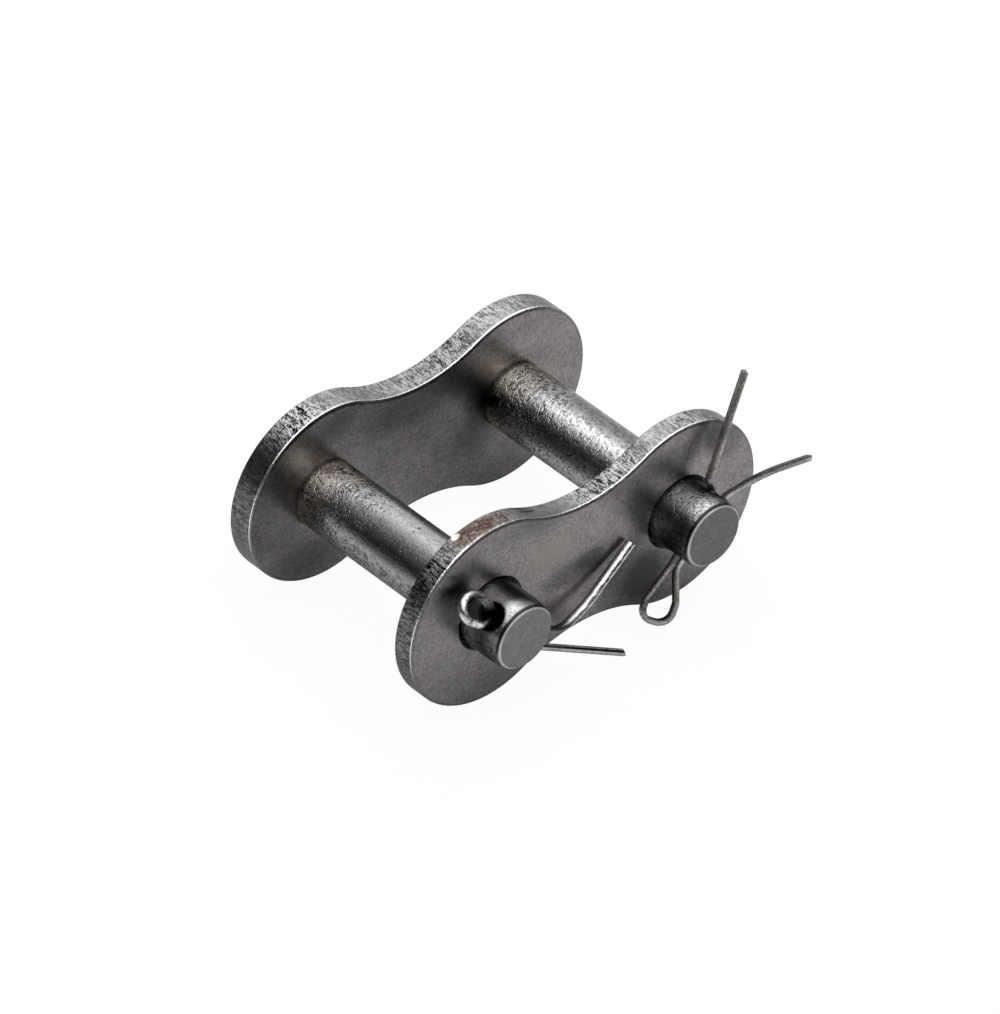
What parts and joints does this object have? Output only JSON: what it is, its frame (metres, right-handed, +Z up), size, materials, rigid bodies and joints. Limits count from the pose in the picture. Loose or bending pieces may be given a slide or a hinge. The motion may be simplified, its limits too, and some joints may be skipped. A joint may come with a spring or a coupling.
{
  "type": "chain connecting link",
  "caption": "Cottered connecting link that joins the ends of a single-strand roller chain: riveted back plate, two pins, slip-fit cover plate and split cotters.",
  "frame": {"origin": "on the left pin's axis, half way between the two plates", "axes": "+X along the pitch from the left pin to the right pin, +Y along the pins towards the back plate, +Z up across the plates' height"},
  "size_m": [0.0606, 0.0436, 0.0321],
  "materials": {
    "back_plate_steel": "dark tumbled steel, satin, with sheared rim",
    "cover_plate_steel": "dark tumbled steel, satin, with sheared rim",
    "pin_steel": "ground and tumbled steel, lightly pitted",
    "cotter_steel": "drawn steel wire"
  },
  "bodies": {
    "pin_link": {"back_plate": "back_plate_steel", "left_pin": "pin_steel", "right_pin": "pin_steel", "left_cotter": "cotter_steel", "right_cotter": "cotter_steel"},
    "cover": {"cover_plate": "cover_plate_steel"}
  },
  "joints": [
    {"name": "cover_slide", "type": "slide", "parent": "pin_link", "child": "cover", "axis": [0, 1, 0], "range_m": [-0.0002, 0.0276]}
  ]
}
